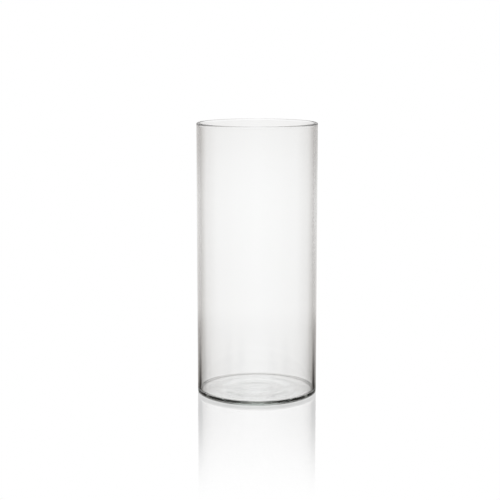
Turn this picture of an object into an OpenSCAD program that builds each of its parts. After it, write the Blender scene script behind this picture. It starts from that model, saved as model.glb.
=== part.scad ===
// Glass cylinder vase: a straight-sided, open vessel blown from one piece of clear glass.
// Frame: millimetres, +Z up, origin at the centre of the foot, on the plane that the vase stands on.
// The glass is drawn in three zones that meet on flat rings: the base, the wall and the rim.

/* [Vessel] */
// Overall height
vase_h = 250; // [120:5:400]
// Outside diameter of the straight wall
wall_d = 110; // [80:1:180]
// Thickness of the wall
wall_t = 2.7; // [2:0.1:5]

/* [Base] */
// Height of the base zone, from the foot to its joint with the wall, where the fillet and the heel allow it
base_zone_h = 8; // [6:0.5:14]
// Thickness of the glass where the floor meets the inner fillet
floor_t = 3.3; // [3.2:0.1:8]
// Height that the middle of the floor stands above its edge
floor_rise = 0.5; // [0.2:0.1:2]
// Radius of the fillet between the floor and the inside of the wall
fillet_r = 2; // [1:0.25:5]
// Radius of the rounded heel outside
heel_r = 1.5; // [1:0.25:4]
// Width of the flat bearing ring that touches the table
bearing_w = 8.5; // [4:0.5:12]
// Height of the push-up in the middle of the underside
push_up_h = 0.4; // [0.2:0.1:3]

/* [Rim] */
// Distance that the bead stands out from the outside of the wall
bead_proud = 0.15; // [0:0.05:0.6]
// Height of the rim zone, from its joint with the wall to the top of the bead
rim_h = 6; // [6:0.5:12]

/* [Hidden] */
$fn = 144;

GLASS = [0.80, 0.87, 0.86, 0.4];

// Flat steps that a shallow cap's arc is drawn with, and the depth of the skirt below its edge
CAP_STEPS = 12;
CAP_SKIRT = 1;

wall_r = wall_d / 2;
bore_r = wall_r - wall_t;
// The base ends on straight wall, above both the inner fillet and the full height of the heel's circle.
base_h = max(base_zone_h, floor_t + fillet_r, 2 * heel_r);
wall_top = vase_h - rim_h;
// The cavity is cut from the floor to past the top of the base, and its fillet circle fits inside the cut.
cavity_h = base_h - floor_t + 2 * fillet_r;
floor_r = bore_r - fillet_r;
push_up_r = wall_r - heel_r - bearing_w;
bead_d = wall_t + bead_proud;

// Height, above the rim of a shallow round cap, of the point at distance x from its axis.
// The cap has radius `r` and is `rise` high.
function cap_height(x, r, rise) =
    let (sphere_r = (r * r + rise * rise) / (2 * rise))
    sqrt(sphere_r * sphere_r - x * x) - (sphere_r - rise);

// Shallow round cap with its edge at z = 0, on a skirt that reaches below it
module cap(r, rise) {
    arc = [for (i = [0:CAP_STEPS]) let (x = r * i / CAP_STEPS) [x, cap_height(x, r, rise)]];
    rotate_extrude() polygon(concat([[0, -CAP_SKIRT]], arc, [[r, -CAP_SKIRT]]));
}

// Disc from z = 0 to z = h, with its lower edge rounded to `corner_r`.
// The rounding is a whole circle, so it stays within the disc only where h is at least 2 * corner_r.
module round_foot_disc(r, h, corner_r) {
    rotate_extrude() {
        square([r - corner_r, h]);
        translate([0, corner_r]) square([r, h - corner_r]);
        translate([r - corner_r, corner_r]) circle(r = corner_r);
    }
}

// Straight ring between two radii, from z0 to z1
module ring(inner_r, outer_r, z0, z1) {
    rotate_extrude() translate([inner_r, z0]) square([outer_r - inner_r, z1 - z0]);
}

// Thick floor with the heel, the bearing ring, the push-up under it and the fillet inside
module base() {
    color(GLASS) {
        difference() {
            round_foot_disc(wall_r, base_h, heel_r);
            translate([0, 0, floor_t]) round_foot_disc(bore_r, cavity_h, fillet_r);
            cap(push_up_r, push_up_h);
        }
        translate([0, 0, floor_t]) cap(floor_r, floor_rise);
    }
}

// Thin straight tube between the base and the rim
module wall() {
    color(GLASS) ring(bore_r, wall_r, base_h, wall_top);
}

// Fire-polished bead: a full round on a short straight neck, flush with the bore
module rim() {
    bead_z = vase_h - bead_d / 2;
    color(GLASS) rotate_extrude() {
        translate([bore_r, wall_top]) square([wall_t, bead_z - wall_top]);
        translate([bore_r + bead_d / 2, bead_z]) circle(d = bead_d);
    }
}

base();
wall();
rim();
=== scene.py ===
"""Looks of the clear glass cylinder vase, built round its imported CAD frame. Metres, +Z up."""
import math

import bpy
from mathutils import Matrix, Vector


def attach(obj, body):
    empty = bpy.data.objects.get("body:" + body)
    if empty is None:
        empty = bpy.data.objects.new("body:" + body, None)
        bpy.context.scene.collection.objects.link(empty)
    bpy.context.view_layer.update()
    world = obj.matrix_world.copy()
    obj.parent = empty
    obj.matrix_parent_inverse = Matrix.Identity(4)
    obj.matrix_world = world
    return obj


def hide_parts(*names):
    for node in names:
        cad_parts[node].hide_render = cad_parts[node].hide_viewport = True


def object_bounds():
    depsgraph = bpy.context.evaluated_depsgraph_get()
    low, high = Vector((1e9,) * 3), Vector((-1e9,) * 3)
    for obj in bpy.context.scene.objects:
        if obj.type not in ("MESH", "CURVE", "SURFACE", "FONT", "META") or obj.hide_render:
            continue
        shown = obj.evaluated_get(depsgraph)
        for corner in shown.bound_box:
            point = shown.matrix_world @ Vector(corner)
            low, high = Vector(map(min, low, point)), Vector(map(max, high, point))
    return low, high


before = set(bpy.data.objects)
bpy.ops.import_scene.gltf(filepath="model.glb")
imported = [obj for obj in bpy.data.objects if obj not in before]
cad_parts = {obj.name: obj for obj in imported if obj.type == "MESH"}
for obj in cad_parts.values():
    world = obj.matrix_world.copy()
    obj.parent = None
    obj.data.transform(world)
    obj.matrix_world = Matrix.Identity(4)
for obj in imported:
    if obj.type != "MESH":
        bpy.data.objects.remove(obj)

cad_low, cad_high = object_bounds()

MM = 0.001

# Driving sizes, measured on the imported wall, so that the looks follow the CAD.
HEIGHT = cad_high.z
WALL_RADII = [math.hypot(v.co.x, v.co.y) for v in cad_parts["wall"].data.vertices]
WALL_R = max(WALL_RADII)
BORE_R = min(WALL_RADII)
BEAD_D = cad_high.x - BORE_R

# Base section, as in the CAD
FLOOR_T = 3.3 * MM
FILLET_R = 2.0 * MM
HEEL_R = 1.5 * MM
BEARING_W = 8.5 * MM
PUSH_UP_H = 0.4 * MM

# Relief of the inside floor: it rises to its middle in two soft round steps, with faint ripples.
# Each step is (radius of its middle, width, height).
FLOOR_STEPS = ((41.0 * MM, 8.0 * MM, 0.10 * MM), (29.0 * MM, 13.0 * MM, 0.40 * MM))
RIPPLE_H = 0.02 * MM
RIPPLE_PITCH = 9.0 * MM

# Fineness of the mesh
AROUND = 384
DISC_STEPS = 54
WALL_STEPS = 40
ARC_STEPS = 10
BEAD_STEPS = 20

# Surface of the glass: faint waves, drawn out up the wall, and fine scuffs where the foot rubs on tables
WAVE_H = 0.03 * MM
WAVES_PER_M = 45.0
WAVE_STRETCH = 0.25
SCUFF_ROUGHNESS = 0.08
SCUFFS_PER_M = 1400.0
SCUFF_EDGE = 1.0 * MM
SCUFF_FULL_Z = 0.02 * MM
SCUFF_GONE_Z = 0.12 * MM

# Surroundings: white panels with shade between them, fixed round the vase and alike every 90 degrees.
# Stops across them are (degrees from the nearest quarter, brightness), for level and for steeper light.
HALF_QUARTER_DEG = 45.0
LEVEL_STOPS = (
    (0, 1.0), (3, 0.97), (7, 0.90), (11.5, 0.72), (16, 0.55), (20, 0.47), (30, 0.42), (37, 0.78), (45, 1.0),
)
STEEP_STOPS = (
    (0, 1.0), (4, 0.90), (10, 0.80), (15, 0.66), (18, 0.34), (20, 0.03), (31, 0.02), (37, 0.60), (45, 1.0),
)
# Heights are given as the sine of the angle from level. The steeper look comes in, is full, and goes again.
STEEP_FROM = 0.21
STEEP_FULL = 0.265
STEEP_ENDS = 0.27
STEEP_GONE = 0.34
# How bright the panels are, by height, for light that only passes through the glass
DIM_STOPS = ((0.0, 0.94), (0.068, 0.94), (0.08, 0.98), (0.10, 1.0), (0.45, 1.0), (0.65, 0.92), (1.0, 0.92))
# How much warmer the shade is than white
WARMTH = 0.08
BLUE_LOSS = 1.65
# What a reflection in the glass shows, by height
REFLECTED_STOPS = (
    (0.0, 0.40), (0.08, 0.64), (0.13, 0.80), (0.20, 0.70), (0.22, 0.50), (0.235, 0.48), (0.245, 0.42),
    (0.252, 0.36), (0.26, 0.22), (0.275, 0.06), (0.31, 0.10), (0.40, 0.55), (0.60, 0.75), (1.0, 0.90),
)
# Gaps between the panels, as steep reflections show them, and as light reflected more than once does
STEEP_GAP_STOPS = ((0, 1.0), (21, 1.0), (28, 0.10), (34, 0.06), (40, 0.70), (45, 1.0))
OFTEN_GAP_STOPS = ((0, 1.0), (10, 0.95), (17, 0.15), (22, 0.03), (41, 0.03), (45, 0.40))
# Light that leaves upward more steeply than this has, as good as always, met the level floor once.
BOUNCED_UP = 0.13
# Counts of reflections or crossings are whole numbers, so these part none from one, and one from two.
NONE_OR_ONE = 0.5
ONE_OR_TWO = 1.5

# Floor: how much it mirrors under the vase, and the distances between which the mirror image fades out
MIRROR = 0.37
FADE_START = 0.07
FADE_END = 0.31
FLOOR_SIZE = 12.0

# Camera: where it stands, in heights of the vase, and how it is turned
CAMERA_AWAY = 5.01
CAMERA_UP = 1.353
CAMERA_PITCH_DEG = 9.315
CAMERA_YAW_DEG = 0.295
SENSOR_MM = 36.0
LENS_MM = 99.3

# Glass: refractive index, and the tint that its depth gives
GLASS_IOR = 1.52
GLASS_TINT = (0.40, 0.66, 0.57, 1)
GLASS_DENSITY = 4.0

WHITE = (1.0, 1.0, 1.0, 1.0)

# Bounces that light needs to cross and recross the glass
BOUNCES = 24
GLOSSY_BOUNCES = 16
CLEAR_BOUNCES = 16


def arc(centre, radius, start_deg, end_deg, steps):
    """Points (r, z) on a round stretch of the section."""
    points = []
    for i in range(steps + 1):
        a = math.radians(start_deg + (end_deg - start_deg) * i / steps)
        points.append((centre[0] + radius * math.cos(a), centre[1] + radius * math.sin(a)))
    return points


def ease(t):
    """Smooth ramp from 0 at t = 0 to 1 at t = 1."""
    t = min(max(t, 0.0), 1.0)
    return (1 - math.cos(math.pi * t)) / 2


def underside(r):
    """Height of the push-up over the table at radius r."""
    edge_r = WALL_R - HEEL_R - BEARING_W
    return PUSH_UP_H * ease((edge_r - r) / edge_r)


def floor_top(r):
    """Height of the inside floor over the table at radius r."""
    height = FLOOR_T
    for middle_r, width, rise in FLOOR_STEPS:
        height += rise * ease((middle_r - r) / width + 0.5)
    edge_r = BORE_R - FILLET_R
    ripple = (1 - math.cos(2 * math.pi * (edge_r - r) / RIPPLE_PITCH)) / 2
    return height - RIPPLE_H * ripple


def wall_heights(start_z, end_z):
    """Heights between the ends of the straight wall, closer near both so that shading stays true there."""
    return [start_z + (end_z - start_z) * ease(i / WALL_STEPS) for i in range(1, WALL_STEPS)]


def section():
    """Closed section: out under the foot, up the outside, down the bore and in along the floor."""
    bearing_r = WALL_R - HEEL_R
    floor_r = BORE_R - FILLET_R
    bore_low = FLOOR_T + FILLET_R
    bead_r = BEAD_D / 2
    bead_z = HEIGHT - bead_r
    notch_z = bead_z - math.sqrt(bead_r ** 2 - (WALL_R - BORE_R - bead_r) ** 2)
    notch_deg = math.degrees(math.asin((notch_z - bead_z) / bead_r))
    outward = [bearing_r * i / DISC_STEPS for i in range(DISC_STEPS)]
    points = [(r, underside(r)) for r in outward]
    points += arc((bearing_r, HEEL_R), HEEL_R, -90, 0, ARC_STEPS)
    points += [(WALL_R, z) for z in wall_heights(HEEL_R, notch_z)]
    points += arc((BORE_R + bead_r, bead_z), bead_r, notch_deg, 180, BEAD_STEPS)
    points += [(BORE_R, z) for z in wall_heights(bead_z, bore_low)]
    points += arc((floor_r, bore_low), FILLET_R, 0, -90, ARC_STEPS)
    inward = [floor_r * (1 - i / DISC_STEPS) for i in range(1, DISC_STEPS + 1)]
    points += [(r, floor_top(r)) for r in inward]
    return points


def revolve(name, points):
    """Closed mesh of the section turned round +Z. The first and last points lie on the axis."""
    low_pole, *ring_points, high_pole = points
    verts = [(0.0, 0.0, low_pole[1])]
    for r, z in ring_points:
        for k in range(AROUND):
            a = 2 * math.pi * k / AROUND
            verts.append((r * math.cos(a), r * math.sin(a), z))
    verts.append((0.0, 0.0, high_pole[1]))
    last = len(verts) - 1
    top_ring = last - AROUND
    faces = []
    for k in range(AROUND):
        n = (k + 1) % AROUND
        faces.append((0, 1 + n, 1 + k))
        faces.append((last, top_ring + k, top_ring + n))
        for ring in range(len(ring_points) - 1):
            a = 1 + ring * AROUND
            b = a + AROUND
            faces.append((a + k, a + n, b + n, b + k))
    mesh = bpy.data.meshes.new(name)
    mesh.from_pydata(verts, [], faces)
    mesh.validate()
    for polygon in mesh.polygons:
        polygon.use_smooth = True
    obj = bpy.data.objects.new(name, mesh)
    bpy.context.scene.collection.objects.link(obj)
    return obj


def math_node(nodes, links, operation, *values):
    """Math node fed by sockets or plain numbers."""
    node = nodes.new("ShaderNodeMath")
    node.operation = operation
    for socket, value in zip(node.inputs, values):
        if isinstance(value, (int, float)):
            socket.default_value = value
        else:
            links.new(value, socket)
    return node.outputs[0]


def map_range(nodes, links, value, low, high, to_low, to_high):
    """Smooth ramp from to_low, where value is low, to to_high, where it is high."""
    node = nodes.new("ShaderNodeMapRange")
    node.interpolation_type = "SMOOTHSTEP"
    links.new(value, node.inputs["Value"])
    names = ("From Min", "From Max", "To Min", "To Max")
    for name, number in zip(names, (low, high, to_low, to_high)):
        node.inputs[name].default_value = number
    return node.outputs["Result"]


def waves(nodes, links, place):
    """Normal of the glass with its faint waves."""
    stretch = nodes.new("ShaderNodeMapping")
    stretch.inputs["Scale"].default_value = (1.0, 1.0, WAVE_STRETCH)
    links.new(place, stretch.inputs["Vector"])
    noise = nodes.new("ShaderNodeTexNoise")
    noise.inputs["Scale"].default_value = WAVES_PER_M
    noise.inputs["Detail"].default_value = 1.0
    links.new(stretch.outputs["Vector"], noise.inputs["Vector"])
    bump = nodes.new("ShaderNodeBump")
    bump.inputs["Strength"].default_value = 1.0
    bump.inputs["Distance"].default_value = WAVE_H
    links.new(noise.outputs["Fac"], bump.inputs["Height"])
    return bump.outputs["Normal"]


def scuffs(nodes, links, place):
    """Roughness of the glass: none, but for fine scuffs on the flat ring that it stands on."""
    split = nodes.new("ShaderNodeSeparateXYZ")
    links.new(place, split.inputs[0])
    across = math_node(nodes, links, "MULTIPLY", split.outputs["X"], split.outputs["X"])
    along = math_node(nodes, links, "MULTIPLY", split.outputs["Y"], split.outputs["Y"])
    radius = math_node(nodes, links, "SQRT", math_node(nodes, links, "ADD", across, along))
    inner_r = WALL_R - HEEL_R - BEARING_W
    on_ring = map_range(nodes, links, radius, inner_r - SCUFF_EDGE, inner_r + SCUFF_EDGE, 0.0, 1.0)
    on_table = map_range(nodes, links, split.outputs["Z"], SCUFF_FULL_Z, SCUFF_GONE_Z, 1.0, 0.0)
    noise = nodes.new("ShaderNodeTexNoise")
    noise.inputs["Scale"].default_value = SCUFFS_PER_M
    links.new(place, noise.inputs["Vector"])
    patch = math_node(nodes, links, "MULTIPLY", noise.outputs["Fac"], 2.0 * SCUFF_ROUGHNESS)
    on_foot = math_node(nodes, links, "MULTIPLY", on_ring, on_table)
    return math_node(nodes, links, "MULTIPLY", patch, on_foot)


def glass_material():
    """Clear soda-lime glass, very slightly green through its depth."""
    mat = bpy.data.materials.new("clear_glass")
    mat.use_nodes = True
    nodes, links = mat.node_tree.nodes, mat.node_tree.links
    shader = nodes["Principled BSDF"]
    shader.inputs["Base Color"].default_value = WHITE
    shader.inputs["Transmission Weight"].default_value = 1.0
    shader.inputs["IOR"].default_value = GLASS_IOR
    place = nodes.new("ShaderNodeTexCoord").outputs["Object"]
    links.new(waves(nodes, links, place), shader.inputs["Normal"])
    links.new(scuffs(nodes, links, place), shader.inputs["Roughness"])
    depth = nodes.new("ShaderNodeVolumeAbsorption")
    depth.inputs["Color"].default_value = GLASS_TINT
    depth.inputs["Density"].default_value = GLASS_DENSITY
    links.new(depth.outputs["Volume"], nodes["Material Output"].inputs["Volume"])
    return mat


def shade(bright):
    """Colour of the surroundings at a brightness: white at 1, and a little warmer the darker it is."""
    warm = WARMTH * (1 - bright)
    return (bright, bright * (1 - warm), bright * (1 - BLUE_LOSS * warm), 1.0)


def ramp(nodes, links, value, stops):
    """Colour ramp through (position, brightness) stops."""
    node = nodes.new("ShaderNodeValToRGB")
    node.color_ramp.interpolation = "EASE"
    elements = node.color_ramp.elements
    while len(elements) < len(stops):
        elements.new(0.5)
    for element, (position, bright) in zip(elements, stops):
        element.position = position
        element.color = shade(bright)
    links.new(value, node.inputs["Fac"])
    return node.outputs["Color"]


def mix_colour(nodes, links, factor, first, second, blend="MIX"):
    """Colour that goes from first, where factor is 0, to second, or to their product, where it is 1."""
    node = nodes.new("ShaderNodeMix")
    node.data_type = "RGBA"
    node.blend_type = blend
    for name, value in (("Factor_Float", factor), ("A_Color", first), ("B_Color", second)):
        socket = next(s for s in node.inputs if s.identifier == name)
        if isinstance(value, (float, tuple)):
            socket.default_value = value
        else:
            links.new(value, socket)
    return next(s for s in node.outputs if s.identifier == "Result_Color")


def floor_material():
    """A clear glossy sheet over white, that mirrors what stands on it, less and less further out."""
    mat = bpy.data.materials.new("floor_gloss")
    mat.use_nodes = True
    nodes, links = mat.node_tree.nodes, mat.node_tree.links
    nodes.clear()
    out = nodes.new("ShaderNodeOutputMaterial")
    mix = nodes.new("ShaderNodeMixShader")
    clear = nodes.new("ShaderNodeBsdfTransparent")
    gloss = nodes.new("ShaderNodeBsdfGlossy")
    gloss.inputs["Color"].default_value = WHITE
    gloss.inputs["Roughness"].default_value = 0.0
    place = nodes.new("ShaderNodeTexCoord")
    reach = nodes.new("ShaderNodeVectorMath")
    reach.operation = "LENGTH"
    links.new(place.outputs["Object"], reach.inputs[0])
    mirror = map_range(nodes, links, reach.outputs["Value"], FADE_START, FADE_END, MIRROR, 0.0)
    links.new(mirror, mix.inputs[0])
    links.new(clear.outputs[0], mix.inputs[1])
    links.new(gloss.outputs[0], mix.inputs[2])
    links.new(mix.outputs[0], out.inputs["Surface"])
    return mat


def make_floor():
    """Wide level sheet that the vase stands on."""
    bpy.ops.mesh.primitive_plane_add(size=FLOOR_SIZE, location=(0, 0, 0))
    obj = bpy.context.object
    obj.name = "floor"
    obj.data.materials.append(floor_material())


def ramp_across(nodes, links, across, stops):
    """Colour ramp through (degrees from the nearest quarter, brightness) stops."""
    return ramp(nodes, links, across, [(deg / HALF_QUARTER_DEG, bright) for deg, bright in stops])


def from_quarter(nodes, links, east, north):
    """Turn about the vase's axis from the nearest quarter: 0 on it, and 1 halfway to the next."""
    half_quarter = math.radians(HALF_QUARTER_DEG)
    turn = math_node(nodes, links, "ARCTAN2", east, north)
    off_quarter = math_node(nodes, links, "PINGPONG", turn, half_quarter)
    return math_node(nodes, links, "DIVIDE", off_quarter, half_quarter)


def how_steep(nodes, links, level):
    """Share of the steeper look at a height."""
    comes = map_range(nodes, links, level, STEEP_FROM, STEEP_FULL, 0.0, 1.0)
    stays = map_range(nodes, links, level, STEEP_ENDS, STEEP_GONE, 1.0, 0.0)
    return math_node(nodes, links, "MULTIPLY", comes, stays)


def seen_through(nodes, links, across, level, steepness):
    """Colour of the panels and the shade between them, for light that only passes through the glass."""
    shallow = ramp_across(nodes, links, across, LEVEL_STOPS)
    steep = ramp_across(nodes, links, across, STEEP_STOPS)
    panels = mix_colour(nodes, links, steepness, shallow, steep)
    return mix_colour(nodes, links, 1.0, panels, ramp(nodes, links, level, DIM_STOPS), "MULTIPLY")


def seen_reflected(nodes, links, across, level, steepness, often):
    """Colour that reflections in the glass show."""
    steep_gap = ramp_across(nodes, links, across, STEEP_GAP_STOPS)
    often_gap = ramp_across(nodes, links, across, OFTEN_GAP_STOPS)
    reflected = ramp(nodes, links, level, REFLECTED_STOPS)
    reflected = mix_colour(nodes, links, steepness, reflected, steep_gap, "MULTIPLY")
    return mix_colour(nodes, links, often, reflected, often_gap, "MULTIPLY")


def make_world():
    """Soft pale surroundings, fixed in the vase's own frame, that only the light in the glass shows."""
    world = bpy.data.worlds.new("studio")
    bpy.context.scene.world = world
    world.use_nodes = True
    nodes, links = world.node_tree.nodes, world.node_tree.links
    background = nodes["Background"]
    split = nodes.new("ShaderNodeSeparateXYZ")
    links.new(nodes.new("ShaderNodeTexCoord").outputs["Generated"], split.inputs[0])
    rise = split.outputs["Z"]
    level = math_node(nodes, links, "ABSOLUTE", rise)
    across = from_quarter(nodes, links, split.outputs["X"], split.outputs["Y"])
    steepness = how_steep(nodes, links, level)
    # Reflections in the glass alone: the one off the floor isn't counted
    path = nodes.new("ShaderNodeLightPath")
    upward = math_node(nodes, links, "GREATER_THAN", rise, BOUNCED_UP)
    in_glass = math_node(nodes, links, "SUBTRACT", path.outputs["Glossy Depth"], upward)
    mirrored = math_node(nodes, links, "GREATER_THAN", in_glass, NONE_OR_ONE)
    often = math_node(nodes, links, "GREATER_THAN", in_glass, ONE_OR_TWO)
    seen = seen_through(nodes, links, across, level, steepness)
    reflected = seen_reflected(nodes, links, across, level, steepness, often)
    by_glass = mix_colour(nodes, links, mirrored, seen, reflected)
    # Straight to the backdrop, or by way of the floor alone, all is white
    outside = math_node(nodes, links, "LESS_THAN", path.outputs["Transmission Depth"], NONE_OR_ONE)
    missed = math_node(nodes, links, "LESS_THAN", in_glass, NONE_OR_ONE)
    plain = math_node(nodes, links, "MULTIPLY", outside, missed)
    links.new(mix_colour(nodes, links, plain, by_glass, WHITE), background.inputs["Color"])
    background.inputs["Strength"].default_value = 1.0


def make_camera():
    """A third of the vase's height above the rim, looking down a little at the middle of the vase."""
    data = bpy.data.cameras.new("camera")
    data.sensor_width = SENSOR_MM
    data.lens = LENS_MM
    data.clip_start = 0.05
    data.clip_end = 50.0
    cam = bpy.data.objects.new("camera", data)
    bpy.context.scene.collection.objects.link(cam)
    pitch = math.radians(CAMERA_PITCH_DEG)
    yaw = math.radians(CAMERA_YAW_DEG)
    look = Vector((-math.sin(yaw) * math.cos(pitch), math.cos(yaw) * math.cos(pitch), -math.sin(pitch)))
    cam.location = Vector((0.0, -CAMERA_AWAY * HEIGHT, CAMERA_UP * HEIGHT))
    cam.rotation_mode = "QUATERNION"
    cam.rotation_quaternion = look.to_track_quat("-Z", "Y")
    bpy.context.scene.camera = cam


def set_render_looks():
    """Plain colours, and enough bounces for light that crosses the glass many times."""
    scene = bpy.context.scene
    scene.view_settings.view_transform = "Standard"
    scene.cycles.max_bounces = BOUNCES
    scene.cycles.transmission_bounces = BOUNCES
    scene.cycles.glossy_bounces = GLOSSY_BOUNCES
    scene.cycles.transparent_max_bounces = CLEAR_BOUNCES


make_camera()
make_world()
make_floor()
set_render_looks()

vase = revolve("vase_glass", section())
vase.data.materials.append(glass_material())
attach(vase, "root")
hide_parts("base", "wall", "rim")
